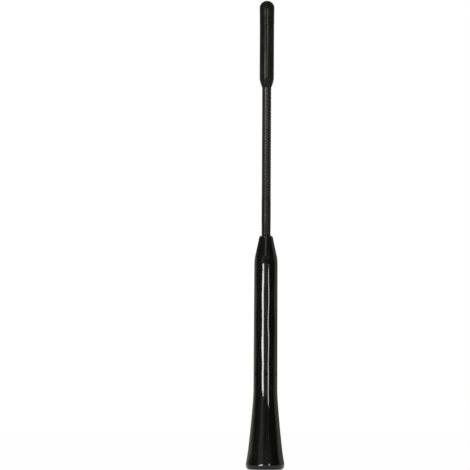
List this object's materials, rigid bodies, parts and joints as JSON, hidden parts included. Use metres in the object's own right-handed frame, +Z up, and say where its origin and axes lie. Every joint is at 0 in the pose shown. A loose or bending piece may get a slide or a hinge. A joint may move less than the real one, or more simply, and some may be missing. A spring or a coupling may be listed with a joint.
{
  "type": "car mast aerial",
  "caption": "Short screw-on car mast aerial: slim ribbed whip on a glossy flared base with a threaded brass socket, and a rounded tip.",
  "frame": {"origin": "centre of the flat ring that the base stands on", "axes": "+Z up along the mast to the tip, -Y is the side that the picture shows"},
  "size_m": [0.0198, 0.0198, 0.24],
  "materials": {
    "base_shell": "polished black moulding with a faint ripple in its reflections",
    "socket_brass": "turned brass",
    "ferrule_metal": "tinned tube",
    "solder": "dull grey solder",
    "rod_fibre": "glass-fibre rod",
    "copper_wire": "enamelled copper wire",
    "sheath_rubber": "brownish black satin sheath",
    "tip_rubber": "charcoal satin moulding",
    "cap_rubber": "charcoal satin moulding"
  },
  "bodies": {
    "root": {"base_shell": "base_shell", "threaded_socket": "socket_brass", "crimp_ferrule": "ferrule_metal", "solder_joint": "solder", "core_rod": "rod_fibre", "winding": "copper_wire", "whip_sleeve": "sheath_rubber", "tip_sleeve": "tip_rubber", "tip_cap": "cap_rubber"}
  },
  "joints": []
}
